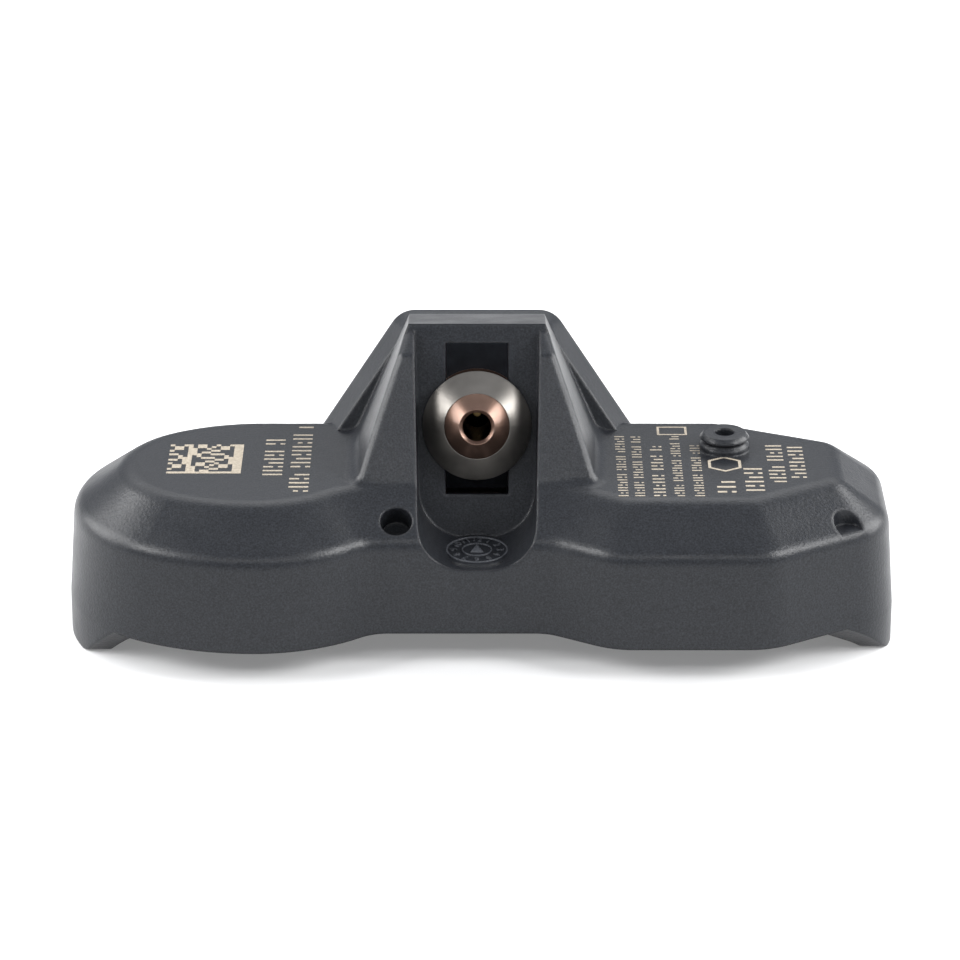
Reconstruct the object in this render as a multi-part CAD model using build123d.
from build123d import *
import os
from math import asin, atan, cos, degrees, radians, sin, sqrt, tan

# Lengths are in millimetres and angles in degrees.
# Before the last move, x runs along the sensor from the valve's plane, y from front to back,
# and z = 0 is the lower edge of the housing's walls.

# Housing: heights and walls
SHOULDER_Z = 8.8
TOP_Z = 12.3
SLOPE_RUN = 4.8
SHOULDER_ROUND = 1.9
TOP_ROUND = 2.6
WALL_DRAFT = 4.0
WALL = 2.2
ROOF = 2.2
CAVITY_SHOULDER_Z = 7.0
CAVITY_SLOPE_RUN = 4.2

# Battery lobe: round, and drawn out towards the end
LOBE_X = -20.1
LOBE_Y = -0.2
LOBE_R = 15.1
LOBE_STRETCH = 2.5
LOBE_END_TRIM = 0.9

# Electronics lobe: corners in plan, and the radius that rounds them
FRONT_Y = -14.5
END_X = 38.3
END_FRONT_Y = -7.3
END_BACK_Y = 8.2
FRONT_LEFT_X = 12.3
FRONT_RIGHT_X = 26.4
BACK_RIGHT_X = 23.4
PLAN_ROUND = 7.0

# Neck and trough
NECK_FRONT_Y = -11.0
NECK_RIGHT_X = 6.4
NECK_ROUND = 4.0
NECK_EMBED = 0.1
NECK_CAVITY_BACK_Y = 4.0
TROUGH_FLOOR_Z = 6.1
TROUGH_LENGTH = 7.8
TROUGH_HALF = 5.3
TROUGH_DRAFT = 1.4
TROUGH_ROUND = 4.3
DATE_PAD_R = 3.4
DATE_PAD_RISE = 0.25

# Tower: it leans back, square to the valve; heights run up its seat wall from the valve axis
LEAN = 20.0
AXIS_RISE = 10.3
SEAT_WALL_TOP = 9.28
TOWER_BACK = 11.3
TOWER_TOP = 10.4
TOWER_ROOT = -20.8
FLANGE_FRONT = 7.8
FLANGE_SET_BACK = 1.47
FLANGE_TOP_HALF = 7.2
FLANGE_SPREAD = 0.68
FLANGE_ROUND = 2.6
BLOCK_TOP_HALF = 6.15
BLOCK_SPREAD = 0.459
CHEEK_TOP_HALF = 5.48
CHEEK_SPREAD = 0.257
FACET_TOP = 8.7
FACET_ANGLE = 25.0
FACET_RUN = 2.85
FACET_ROUND = 0.8
KNEE_ROUND = 3.0
CHEEK_ROUND = 0.8
TOWER_FOOT_ROUND = 1.5
BAY_CLEARANCE = 0.6
REAR_S = 15.9
REAR_WALL = 1.6

# Slot and ball seat in the tower
SLOT_WIDTH = 5.75
SLOT_LOW = -6.33
SLOT_HIGH = 7.53
BALL_AHEAD = 4.2
BALL_R = 6.2
SEAT_CLEARANCE = 0.15

# Feet, blind holes and pressure port
FOOT_DROP = 3.6
FOOT_THICKNESS = 1.8
FOOT_ROOT_HALF = 10.5
FOOT_SOLE_HALF = 6.9
FOOT_ROUND = 2.0
NECK_HOLE_X = -7.3
NECK_HOLE_RUN = 1.75
NECK_HOLE_R = 1.45
NECK_HOLE_DEPTH = 2.6
END_HOLE = (33.6, -8.2)
END_HOLE_R = 1.35
END_HOLE_Z = 9.0
PORT = (22.9, 3.2)
PORT_R = 2.3
PORT_HEIGHT = 1.6
PORT_LIP = 0.35
PORT_HOLE_R = 0.9

# Valve: places are distances along its axis, behind the tower's seat wall
NOSE_S = -3.7
SWAGE_S = -2.3
SWAGE_R = 3.0
NOSE_R = 1.6
NOSE_CHAMFER = 0.3
AIR_BORE_R = 1.3
NECK_R = 2.65
COLLAR_R = 5.0
COLLAR_RIM_S = -0.9
STEM_FLANGE_S = 13.0
STEM_FLANGE_R = 4.8
STEM_FLANGE_THICKNESS = 0.8
THREAD_R = 3.85
STEM_END_S = 39.5
STEM_CHAMFER = 0.4
CORE_BORE_R = 2.6
CORE_BORE_S = 27.0
SEAL_R = 8.6
SEAL_THICKNESS = 2.5
SEAL_ROUND = 0.7
SPIGOT_R = 5.6
SPIGOT_LENGTH = 2.3
RIM_THICKNESS = 3.5
WASHER_R = 7.0
WASHER_THICKNESS = 1.0
NUT_FLATS = 12.0
NUT_HEIGHT = 5.0
NUT_BEVEL = 0.7
THREAD_CLEARANCE = 0.1

# Valve core
CORE_INNER_S = 30.5
CORE_OUTER_S = 38.4
CORE_BARREL_R = 2.1
CORE_BARREL_LENGTH = 2.7
CORE_FLOOR = 2.0
CORE_CHAMBER_R = 1.5
PIN_R = 0.45
PIN_HOLE_R = 0.65
PIN_TIP_S = 39.0
PIN_TIP_R = 0.7
PIN_HEAD_R = 1.3
PIN_HEAD_S = 37.4
PIN_HEAD_THICKNESS = 0.5
PLUG_R = 1.9
PLUG_THICKNESS = 1.3
PLUG_GAP = 0.05
GASKET_OFFSET = 0.7
GASKET_LENGTH = 1.2
SPRING_R = 1.05
SPRING_WIRE_R = 0.17
SPRING_TURNS = 5

# Cap
CAP_S = 31.0
CAP_END_S = 42.3
CAP_R = 4.9
CAP_ROUND = 1.0
CAP_ROOF = 1.4
CAP_SEAL_THICKNESS = 1.0
CAP_SEAL_CLEARANCE = 0.05
CAP_FLUTES = 16
CAP_FLUTE_R = 0.55
CAP_BAND = 1.6

# Pieces in the resin
RESIN_RECESS = 0.4
CELL_R = 10.0
CELL_HEIGHT = 5.0
CELL_Z = 1.5
CELL_CAP_R = 8.9
CELL_CAP_HEIGHT = 0.8
TAB_THICKNESS = 0.2
TAB_WIDTH = 2.0
TAB_OVERLAP = 2.5
LOWER_TAB_Y = -3.0
LOWER_TAB_RISE_X = 14.2
UPPER_TAB_Y = 1.5
UPPER_TAB_CLEARANCE = 0.7
UPPER_TAB_RUN_Z = 2.8
UPPER_TAB_RISE_X = 12.6
BOARD_Z = 5.6
BOARD_THICKNESS = 1.0
BOARD_MARGIN = 1.3
CHIP_SIZE = (5.0, 5.0, 1.7)
GASKET_R = 2.1
RADIO_AT = (17.0, -5.5)
RADIO_SIZE = (4.0, 4.0, 0.9)
CRYSTAL_AT = (23.5, -6.5)
CRYSTAL_SIZE = (3.2, 2.5, 0.8)
COIL_AT = (29.3, 1.0)
COIL_SIZE = (2.6, 7.5, 2.4)
COIL_WINDING = 5.0
COIL_WINDING_DEPTH = 0.35
LOOP_MARGIN = 0.6
LOOP_WIDTH = 0.7
LOOP_HEIGHT = 0.6
CAPACITOR_SIZE = (1.0, 1.8, 0.9)
CAPACITOR_AT = (13.6, 1.2)
CAPACITOR_STEP = 1.9
CAPACITOR_COUNT = 3

# Derived places
SEAT_FOOT_Y = NECK_FRONT_Y + TROUGH_LENGTH
AXIS_Y = SEAT_FOOT_Y + AXIS_RISE * sin(radians(LEAN))
AXIS_Z = TROUGH_FLOOR_Z + AXIS_RISE * cos(radians(LEAN))
BACKWARD = (0, cos(radians(LEAN)), -sin(radians(LEAN)))
FORWARD = (0, -cos(radians(LEAN)), sin(radians(LEAN)))
TOWER = Plane(origin=(0, AXIS_Y, AXIS_Z), x_dir=(1, 0, 0), z_dir=FORWARD)
VALVE = Plane(origin=(0, AXIS_Y, AXIS_Z), x_dir=(1, 0, 0), z_dir=BACKWARD)
WALL_LEAN = SHOULDER_Z * tan(radians(WALL_DRAFT))
SLOPE_ANGLE = degrees(atan((TOP_Z - SHOULDER_Z) / SLOPE_RUN))
BACK_Y = LOBE_Y + LOBE_R
LOBE_END_X = LOBE_X - LOBE_R - LOBE_STRETCH
END_Y = (END_FRONT_Y + END_BACK_Y) / 2
BAY_HALF = SEAL_R + BAY_CLEARANCE
CEILING_Z = TOP_Z - ROOF
FAR = 200.0
NEAR = 0.01
SEAL_S = STEM_FLANGE_S + STEM_FLANGE_THICKNESS
RIM_S = SEAL_S + SEAL_THICKNESS
WASHER_S = RIM_S + RIM_THICKNESS
NUT_S = WASHER_S + WASHER_THICKNESS
CAP_CEILING_S = CAP_END_S - CAP_ROOF
CAP_BORE_R = THREAD_R + THREAD_CLEARANCE
BOARD_TOP = BOARD_Z + BOARD_THICKNESS
INNER_S = REAR_S - REAR_WALL
INNER_BACK_Y = AXIS_Y + (INNER_S - (AXIS_Z - BOARD_Z) * sin(radians(LEAN))) / cos(radians(LEAN))
RIM_HOLE = Vector(0, AXIS_Y, AXIS_Z) + Vector(*BACKWARD) * RIM_S


def outline(points):
    return make_face(Polyline(*points, close=True))


def round_corners(face, places, radius):
    corners = [face.vertices().sort_by_distance(place)[0] for place in places]
    return fillet(corners, radius)


def turned(points, place=VALVE.location):
    profile = outline([(r, 0, s) for r, s in points])
    return place * revolve(profile, axis=Axis.Z)


def ring(inner, outer, start, end):
    return turned([(inner, start), (outer, start), (outer, end), (inner, end)])


def block_between(low, high):
    size = [b - a for a, b in zip(low, high)]
    middle = [(a + b) / 2 for a, b in zip(low, high)]
    return Pos(*middle) * Box(*size)


def on_board(place, size):
    return Pos(*place, BOARD_TOP + size[2] / 2) * Box(*size)


def tower_point(behind, up):
    lean = radians(LEAN)
    y = AXIS_Y + behind * cos(lean) + up * sin(lean)
    z = AXIS_Z - behind * sin(lean) + up * cos(lean)
    return (0, y, z)


def ahead_of(solid, behind):
    plane = Plane(origin=tower_point(behind, 0), z_dir=FORWARD)
    return split(solid, bisect_by=plane, keep=Keep.TOP)


def electronics_corners():
    return [
        (FRONT_LEFT_X, FRONT_Y),
        (FRONT_RIGHT_X, FRONT_Y),
        (END_X, END_FRONT_Y),
        (END_X, END_BACK_Y),
        (BACK_RIGHT_X, BACK_Y),
    ]


def electronics_plan():
    corners = electronics_corners()
    root = [(BAY_HALF, BACK_Y), (NECK_RIGHT_X, NECK_FRONT_Y)]
    return round_corners(outline(corners + root), corners, PLAN_ROUND)


def lobe_arcs(inset):
    middle = Vector(LOBE_X, LOBE_Y)
    end_r = LOBE_R - LOBE_END_TRIM
    end_shift = LOBE_STRETCH + LOBE_END_TRIM
    side_r = (end_shift**2 + LOBE_R**2 - end_r**2) / (2 * LOBE_END_TRIM)
    side_shift = side_r - LOBE_R
    turn = degrees(atan(end_shift / side_shift))
    back = CenterArc(middle - (0, side_shift), side_r - inset, 90, turn)
    end = CenterArc(middle - (end_shift, 0), end_r - inset, 90 + turn, 180 - 2 * turn)
    front = CenterArc(middle + (0, side_shift), side_r - inset, 270 - turn, turn)
    to_neck = 90 + degrees(asin((NECK_FRONT_Y + inset - LOBE_Y) / (LOBE_R - inset)))
    return [back, end, front, CenterArc(middle, LOBE_R - inset, 270, to_neck)]


def base_plan(inset=0):
    corners = [(NECK_RIGHT_X, NECK_FRONT_Y), *electronics_corners()]
    straight = outline([*corners, (LOBE_X, BACK_Y), (LOBE_X, NECK_FRONT_Y)])
    if inset:
        straight = offset(straight, -inset, kind=Kind.INTERSECTION)
    corners = [straight.vertices().sort_by_distance(corner)[0].center() for corner in corners]
    arcs = lobe_arcs(inset)
    neck_left = arcs[-1] @ 1
    rest = Polyline(neck_left, *corners, (LOBE_X, BACK_Y - inset))
    plan = round_corners(make_face([*arcs, rest]), corners[1:], PLAN_ROUND - inset)
    return round_corners(plan, [neck_left, corners[0]], NECK_ROUND + inset)


def base():
    plan = base_plan()
    shoulder = Pos(0, 0, SHOULDER_Z) * base_plan(WALL_LEAN)
    top = Pos(0, 0, TOP_Z) * base_plan(WALL_LEAN + SLOPE_RUN)
    body = loft([plan, shoulder], ruled=True) + loft([shoulder, top], ruled=True)
    body = fillet(body.faces().sort_by(Axis.Z)[-1].edges(), TOP_ROUND)
    bend = body.edges().filter_by_position(Axis.Z, SHOULDER_Z - NEAR, SHOULDER_Z + NEAR)
    return fillet(bend, SHOULDER_ROUND)


def side_view():
    facet_top = tower_point(0, FACET_TOP)
    facet_drop = FACET_RUN * tan(radians(FACET_ANGLE))
    facet_edge = (0, facet_top[1] - FACET_RUN, facet_top[2] - facet_drop)
    front = NECK_FRONT_Y + WALL_LEAN + NECK_EMBED
    shoulder = (0, front, SHOULDER_Z)
    knee = (0, front + SLOPE_RUN, TOP_Z)
    points = [
        (0, front, 0),
        shoulder,
        knee,
        facet_edge,
        facet_top,
        tower_point(0, SEAT_WALL_TOP),
        tower_point(TOWER_BACK, TOWER_TOP),
        tower_point(TOWER_BACK + TOWER_TOP, 0),
        (0, BACK_Y, 0),
    ]
    view = outline(points)
    view = round_corners(view, [shoulder], SHOULDER_ROUND)
    view = round_corners(view, [knee], KNEE_ROUND)
    return round_corners(view, [facet_edge], FACET_ROUND)


def tower_section(behind, top_half, spread):
    low_half = top_half + spread * (TOWER_TOP - TOWER_ROOT)
    low = [(-low_half, TOWER_ROOT), (low_half, TOWER_ROOT)]
    top = [(top_half, TOWER_TOP), (-top_half, TOWER_TOP)]
    return TOWER * Pos(0, 0, -behind) * outline(low + top)


def tower_block():
    back = tower_section(FLANGE_FRONT, BLOCK_TOP_HALF, BLOCK_SPREAD)
    front = tower_section(NECK_FRONT_Y - AXIS_Y, CHEEK_TOP_HALF, CHEEK_SPREAD)
    block = loft([back, front], ruled=True)
    block &= extrude(side_view(), amount=FAR, dir=(1, 0, 0), both=True)
    flanks = block.faces().sort_by(Axis.X)
    rims = flanks[0].edges() + flanks[-1].edges()
    ahead = rims.filter_by(lambda rim: TOWER.to_local_coords(rim.center()).Z > NEAR)
    return fillet(ahead.filter_by(lambda rim: rim.center().Z > SHOULDER_Z), CHEEK_ROUND)


def tower_flange():
    low_half = FLANGE_TOP_HALF + FLANGE_SPREAD * (TOWER_TOP - TOWER_ROOT)
    tips = [(-FLANGE_TOP_HALF, TOWER_TOP), (FLANGE_TOP_HALF, TOWER_TOP)]
    face = outline([(-low_half, TOWER_ROOT), (low_half, TOWER_ROOT), tips[1], tips[0]])
    face = round_corners(face, tips, FLANGE_ROUND)
    thickness = TOWER_BACK - FLANGE_FRONT
    back = TOWER * Pos(0, 0, -TOWER_BACK) * face
    flange = extrude(back, amount=thickness, dir=FORWARD, taper=degrees(atan(FLANGE_SET_BACK / thickness)))
    return flange & block_between((-FAR, -FAR, 0), (FAR, FAR, FAR))


def trough():
    low, high = TROUGH_FLOOR_Z, FAR
    top_half = TROUGH_HALF + (high - low) * tan(radians(TROUGH_DRAFT))
    corners = [(-TROUGH_HALF, low), (TROUGH_HALF, low), (top_half, high), (-top_half, high)]
    section = round_corners(outline(corners), corners[:2], TROUGH_ROUND)
    channel = extrude(Plane.XZ * section, amount=FAR, both=True)
    return split(channel, bisect_by=TOWER, keep=Keep.TOP)


def ball_seat():
    ball = TOWER * Pos(0, 0, BALL_AHEAD) * Sphere(BALL_R + SEAT_CLEARANCE)
    return split(ball, bisect_by=TOWER, keep=Keep.BOTTOM)


def valve_slot():
    height = SLOT_HIGH - SLOT_LOW
    middle = (SLOT_HIGH + SLOT_LOW) / 2
    return TOWER * Pos(0, middle, -TOWER_BACK / 2) * Box(SLOT_WIDTH, height, 2 * TOWER_BACK)


def valve_bay():
    return TOWER * Pos(0, 0, -TOWER_BACK - FAR / 2) * Box(2 * BAY_HALF, FAR, FAR)


def foot_side_view():
    front = (0, -FOOT_SOLE_HALF, -FOOT_DROP)
    back = (0, FOOT_SOLE_HALF, -FOOT_DROP)
    view = outline([(0, -FOOT_ROOT_HALF, 0), front, back, (0, FOOT_ROOT_HALF, 0)])
    return round_corners(view, [front, back], FOOT_ROUND)


def feet():
    plan = base_plan()
    band = extrude(plan, amount=-FOOT_DROP, dir=(0, 0, 1))
    band -= extrude(offset(plan, -FOOT_THICKNESS), amount=-FOOT_DROP, dir=(0, 0, 1))
    view = foot_side_view()
    left = Pos(LOBE_X, LOBE_Y, 0) * extrude(view, amount=LOBE_END_X - LOBE_X, dir=(1, 0, 0))
    right = Pos(BACK_RIGHT_X, END_Y, 0) * extrude(view, amount=END_X - BACK_RIGHT_X, dir=(1, 0, 0))
    return band & (left + right)


def cavity():
    shoulder_r = LOBE_R - WALL
    top_r = shoulder_r - CAVITY_SLOPE_RUN
    profile = outline(
        [
            (0, 0, 0),
            (shoulder_r, 0, 0),
            (shoulder_r, 0, CAVITY_SHOULDER_Z),
            (top_r, 0, CEILING_Z),
            (0, 0, CEILING_Z),
        ]
    )
    room = Pos(LOBE_X, LOBE_Y, 0) * revolve(profile, axis=Axis.Z)
    plan = offset(electronics_plan(), -WALL, kind=Kind.INTERSECTION)
    wall = extrude(plan, amount=CAVITY_SHOULDER_Z)
    shoulder = Pos(0, 0, CAVITY_SHOULDER_Z) * plan
    ceiling = Pos(0, 0, CEILING_Z) * offset(plan, -CAVITY_SLOPE_RUN, kind=Kind.INTERSECTION)
    crown = loft([shoulder, ceiling], ruled=True)
    low = (LOBE_X, NECK_FRONT_Y + WALL, 0)
    passage = block_between(low, (FRONT_LEFT_X, NECK_CAVITY_BACK_Y, TROUGH_FLOOR_Z - ROOF))
    return ahead_of(room + wall + crown + passage, INNER_S)


def port_boss():
    root = TOP_Z - ROOF / 2
    top = TOP_Z + PORT_HEIGHT
    waist = TOP_Z + PORT_HEIGHT / 2
    points = [
        (0, root),
        (PORT_R, root),
        (PORT_R, waist - PORT_LIP),
        (PORT_R - PORT_LIP, waist),
        (PORT_R, waist + PORT_LIP),
        (PORT_R - PORT_LIP, top),
        (0, top),
    ]
    return turned(points, Pos(*PORT, 0))


def neck_hole():
    rise = NECK_HOLE_RUN * tan(radians(SLOPE_ANGLE))
    mouth = (NECK_HOLE_X, NECK_FRONT_Y + WALL_LEAN + NECK_HOLE_RUN, SHOULDER_Z + rise)
    across = Plane(origin=mouth, x_dir=(1, 0, 0), z_dir=(0, -rise, NECK_HOLE_RUN))
    return across * Cylinder(NECK_HOLE_R, 2 * NECK_HOLE_DEPTH)


def end_hole():
    return Pos(*END_HOLE, END_HOLE_Z + FAR / 2) * Cylinder(END_HOLE_R, FAR)


def tower_on_base():
    body = base() + tower_block() + tower_flange()
    level = body.edges().filter_by_position(Axis.Z, TOP_Z - NEAR, TOP_Z + NEAR)
    # The twisted flanks meet the flat top in its two longest free curves.
    flank_feet = level.filter_by(GeomType.BSPLINE).sort_by(SortBy.LENGTH)[-2:]
    return fillet(flank_feet, TOWER_FOOT_ROUND)


def housing():
    body = tower_on_base() - trough()
    pad_height = TROUGH_ROUND
    pad_y = SEAT_FOOT_Y - DATE_PAD_R
    pad_z = TROUGH_FLOOR_Z + DATE_PAD_RISE - pad_height / 2
    body += Pos(0, pad_y, pad_z) * Cylinder(DATE_PAD_R, pad_height)
    body += port_boss()
    body += feet()
    body = ahead_of(body, REAR_S)
    body -= valve_bay()
    body -= cavity()
    body -= valve_slot()
    body -= ball_seat()
    body -= neck_hole()
    body -= end_hole()
    return body - Pos(*PORT, TOP_Z) * Cylinder(PORT_HOLE_R, 2 * (PORT_HEIGHT + ROOF))


def seat_collar():
    rim_back = (COLLAR_R, sqrt(BALL_R**2 - COLLAR_R**2) - BALL_AHEAD)
    neck_back = (NECK_R, sqrt(BALL_R**2 - NECK_R**2) - BALL_AHEAD)
    turn = atan(COLLAR_R / (rim_back[1] + BALL_AHEAD)) + atan(NECK_R / (neck_back[1] + BALL_AHEAD))
    middle = (BALL_R * sin(turn / 2), BALL_R * cos(turn / 2) - BALL_AHEAD)
    back = ThreePointArc(*[(r, 0, s) for r, s in (rim_back, middle, neck_back)])
    front = [neck_back, (NECK_R, SWAGE_S), (SWAGE_R, SWAGE_S), (COLLAR_R, COLLAR_RIM_S), rim_back]
    profile = make_face([back, Polyline(*[(r, 0, s) for r, s in front])])
    return VALVE.location * revolve(profile, axis=Axis.Z)


def valve_stem():
    return turned(
        [
            (AIR_BORE_R, NOSE_S + NOSE_CHAMFER),
            (NOSE_R, NOSE_S),
            (SWAGE_R, SWAGE_S),
            (NECK_R, SWAGE_S),
            (NECK_R, STEM_FLANGE_S),
            (STEM_FLANGE_R, STEM_FLANGE_S),
            (STEM_FLANGE_R, SEAL_S),
            (THREAD_R, SEAL_S),
            (THREAD_R, STEM_END_S - STEM_CHAMFER),
            (THREAD_R - STEM_CHAMFER, STEM_END_S),
            (CORE_BORE_R, STEM_END_S),
            (CORE_BORE_R, CORE_BORE_S),
            (AIR_BORE_R, CORE_BORE_S - (CORE_BORE_R - AIR_BORE_R)),
        ]
    )


def rubber_seal():
    spigot_end = RIM_S + SPIGOT_LENGTH
    return turned(
        [
            (THREAD_R, SEAL_S),
            (SEAL_R - SEAL_ROUND, SEAL_S),
            (SEAL_R, SEAL_S + SEAL_ROUND),
            (SEAL_R, RIM_S - SEAL_ROUND),
            (SEAL_R - SEAL_ROUND, RIM_S),
            (SPIGOT_R, RIM_S),
            (SPIGOT_R, spigot_end - SEAL_ROUND),
            (SPIGOT_R - SEAL_ROUND, spigot_end),
            (THREAD_R, spigot_end),
        ]
    )


def union_nut():
    prism = extrude(RegularPolygon(NUT_FLATS / 2, 6, major_radius=False), amount=NUT_HEIGHT)
    corner_r = NUT_FLATS / 2 / cos(radians(30))
    bevel_drop = NUT_BEVEL * tan(radians(30))
    limit = [
        (0, 0),
        (corner_r, 0),
        (corner_r, NUT_HEIGHT - bevel_drop),
        (corner_r - NUT_BEVEL, NUT_HEIGHT),
        (0, NUT_HEIGHT),
    ]
    nut = prism & turned(limit, Location())
    nut -= Pos(0, 0, NUT_HEIGHT / 2) * Cylinder(CAP_BORE_R, 2 * NUT_HEIGHT)
    return VALVE * Pos(0, 0, NUT_S) * nut


def valve_core_body():
    barrel_end = CORE_INNER_S + CORE_BARREL_LENGTH
    floor = CORE_INNER_S + CORE_FLOOR
    return turned(
        [
            (PIN_HOLE_R, CORE_INNER_S),
            (CORE_BARREL_R, CORE_INNER_S),
            (CORE_BARREL_R, barrel_end),
            (CORE_BORE_R, barrel_end),
            (CORE_BORE_R, CORE_OUTER_S),
            (CORE_CHAMBER_R, CORE_OUTER_S),
            (CORE_CHAMBER_R, floor),
            (PIN_HOLE_R, floor),
        ]
    )


def valve_core_pin():
    head_end = PIN_HEAD_S + PIN_HEAD_THICKNESS
    return turned(
        [
            (0, CORE_INNER_S - PLUG_GAP - PLUG_THICKNESS),
            (PIN_R, CORE_INNER_S - PLUG_GAP - PLUG_THICKNESS),
            (PIN_R, PIN_HEAD_S),
            (PIN_HEAD_R, PIN_HEAD_S),
            (PIN_HEAD_R, head_end),
            (PIN_TIP_R, head_end),
            (PIN_TIP_R, PIN_TIP_S),
            (0, PIN_TIP_S),
        ]
    )


def valve_core_spring():
    floor = CORE_INNER_S + CORE_FLOOR
    length = PIN_HEAD_S - floor - 2 * SPRING_WIRE_R
    path = Helix(pitch=length / SPRING_TURNS, height=length, radius=SPRING_R)
    wire = Plane(origin=path @ 0, z_dir=path % 0) * Circle(SPRING_WIRE_R)
    coil = sweep(wire, path=path, is_frenet=True)
    return VALVE * Pos(0, 0, floor + SPRING_WIRE_R) * coil


def valve_cap():
    cap = turned(
        [
            (CAP_BORE_R, CAP_S),
            (CAP_R, CAP_S),
            (CAP_R, CAP_END_S - CAP_ROUND),
            (CAP_R - CAP_ROUND, CAP_END_S),
            (0, CAP_END_S),
            (0, CAP_CEILING_S),
            (CAP_BORE_R, CAP_CEILING_S),
        ],
        Location(),
    )
    length = CAP_END_S - CAP_S
    flute = Pos(CAP_R, 0, CAP_S + CAP_BAND + length / 2) * Cylinder(CAP_FLUTE_R, length)
    for turn in range(CAP_FLUTES):
        cap -= Rot(0, 0, 360 * turn / CAP_FLUTES) * flute
    return VALVE * cap


def battery_cell():
    top = CELL_Z + CELL_HEIGHT
    points = [
        (0, CELL_Z),
        (CELL_R, CELL_Z),
        (CELL_R, top - CELL_CAP_HEIGHT),
        (CELL_CAP_R, top - CELL_CAP_HEIGHT),
        (CELL_CAP_R, top),
        (0, top),
    ]
    return turned(points, Pos(LOBE_X, LOBE_Y, 0))


def strip(points, y):
    profile = Plane.XZ * outline(points)
    return Pos(0, y, 0) * extrude(profile, amount=TAB_WIDTH / 2, both=True)


def battery_lower_tab():
    start = LOBE_X - TAB_OVERLAP
    inner = LOWER_TAB_RISE_X - TAB_THICKNESS
    low = CELL_Z - TAB_THICKNESS
    corners = [
        (start, low),
        (LOWER_TAB_RISE_X, low),
        (LOWER_TAB_RISE_X, BOARD_Z),
        (inner, BOARD_Z),
        (inner, CELL_Z),
        (start, CELL_Z),
    ]
    return strip(corners, LOWER_TAB_Y)


def battery_upper_tab():
    t = TAB_THICKNESS
    start = LOBE_X - TAB_OVERLAP
    low = CELL_Z + CELL_HEIGHT
    drop = LOBE_X + CELL_R + UPPER_TAB_CLEARANCE + t
    run, rise = UPPER_TAB_RUN_Z, UPPER_TAB_RISE_X
    corners = [
        (start, low),
        (drop - t, low),
        (drop - t, run),
        (rise + t, run),
        (rise + t, BOARD_Z),
        (rise, BOARD_Z),
        (rise, run + t),
        (drop, run + t),
        (drop, low + t),
        (start, low + t),
    ]
    return strip(corners, UPPER_TAB_Y)


def board_plan(margin):
    plan = offset(electronics_plan(), -WALL - margin)
    low, high = -FAR, INNER_BACK_Y - margin
    return plan & outline([(0, low), (FAR, low), (FAR, high), (0, high)])


def circuit_board():
    return Pos(0, 0, BOARD_Z) * extrude(board_plan(BOARD_MARGIN), amount=BOARD_THICKNESS)


def antenna_loop():
    edge = BOARD_MARGIN + LOOP_MARGIN
    band = board_plan(edge) - board_plan(edge + LOOP_WIDTH)
    return Pos(0, 0, BOARD_TOP) * extrude(band, amount=LOOP_HEIGHT)


def port_gasket():
    low = BOARD_TOP + CHIP_SIZE[2]
    points = [(PORT_HOLE_R, low), (GASKET_R, low), (GASKET_R, CEILING_Z), (PORT_HOLE_R, CEILING_Z)]
    return turned(points, Pos(*PORT, 0))


def wake_coil():
    core = on_board(COIL_AT, COIL_SIZE)
    trim = COIL_WINDING_DEPTH
    waist = on_board(COIL_AT, (COIL_SIZE[0], COIL_WINDING, COIL_SIZE[2]))
    kept = on_board(COIL_AT, (COIL_SIZE[0] - 2 * trim, COIL_WINDING, COIL_SIZE[2] - trim))
    return core - (waist - kept)


def chip_capacitors():
    x, y = CAPACITOR_AT
    places = [(x + CAPACITOR_STEP * i, y) for i in range(CAPACITOR_COUNT)]
    return Compound([on_board(place, CAPACITOR_SIZE) for place in places])


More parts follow.
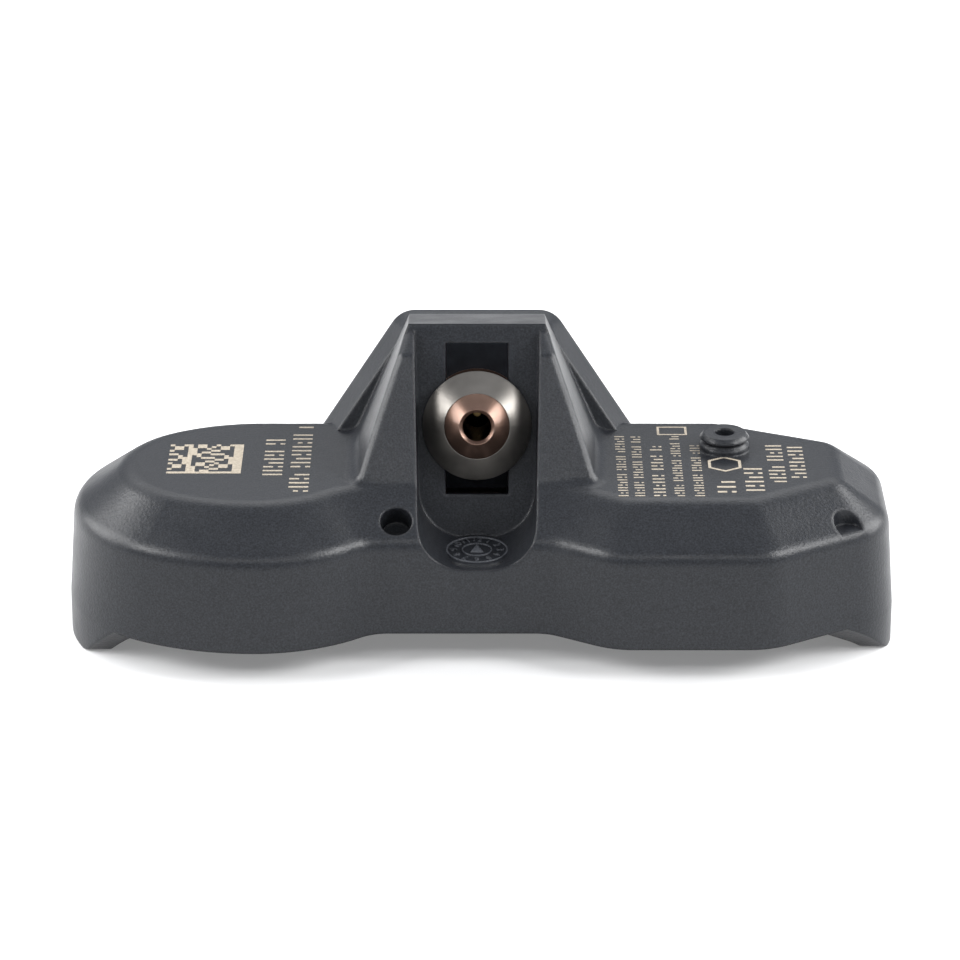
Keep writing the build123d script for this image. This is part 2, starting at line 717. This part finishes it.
def potting(pieces):
    fill = cavity() & block_between((-FAR, -FAR, RESIN_RECESS), (FAR, FAR, FAR))
    for piece in pieces:
        fill -= piece
    air_gap = CEILING_Z - BOARD_TOP - CHIP_SIZE[2]
    return fill - Pos(*PORT, CEILING_Z) * Cylinder(PORT_HOLE_R, 2 * air_gap)


def build():
    gasket_s = CORE_INNER_S + GASKET_OFFSET
    plug_s = CORE_INNER_S - PLUG_GAP - PLUG_THICKNESS
    cap_seal_s = CAP_CEILING_S - CAP_SEAL_THICKNESS
    nodes = {
        "housing": housing(),
        "seat_collar": seat_collar(),
        "valve_stem": valve_stem(),
        "rubber_seal": rubber_seal(),
        "clamp_washer": ring(CAP_BORE_R, WASHER_R, WASHER_S, NUT_S),
        "union_nut": union_nut(),
        "valve_core_body": valve_core_body(),
        "valve_core_gasket": ring(CORE_BARREL_R, CORE_BORE_R, gasket_s, gasket_s + GASKET_LENGTH),
        "valve_core_pin": valve_core_pin(),
        "valve_core_plug": ring(PIN_R, PLUG_R, plug_s, CORE_INNER_S - PLUG_GAP),
        "valve_core_spring": valve_core_spring(),
        "valve_cap": valve_cap(),
        "cap_seal": turned(
            [
                (0, cap_seal_s),
                (CAP_BORE_R - CAP_SEAL_CLEARANCE, cap_seal_s),
                (CAP_BORE_R - CAP_SEAL_CLEARANCE, CAP_CEILING_S),
                (0, CAP_CEILING_S),
            ]
        ),
    }
    sealed = {
        "battery_cell": battery_cell(),
        "battery_lower_tab": battery_lower_tab(),
        "battery_upper_tab": battery_upper_tab(),
        "circuit_board": circuit_board(),
        "pressure_chip": on_board(PORT, CHIP_SIZE),
        "port_gasket": port_gasket(),
        "transmitter_chip": on_board(RADIO_AT, RADIO_SIZE),
        "timing_crystal": on_board(CRYSTAL_AT, CRYSTAL_SIZE),
        "wake_coil": wake_coil(),
        "antenna_loop": antenna_loop(),
        "chip_capacitors": chip_capacitors(),
    }
    nodes["potting"] = potting(sealed.values())
    return nodes | sealed


os.makedirs("parts", exist_ok=True)
to_rim_hole = Pos(*(-RIM_HOLE))
for name, solid in build().items():
    export_step(to_rim_hole * solid, f"parts/{name}.step")
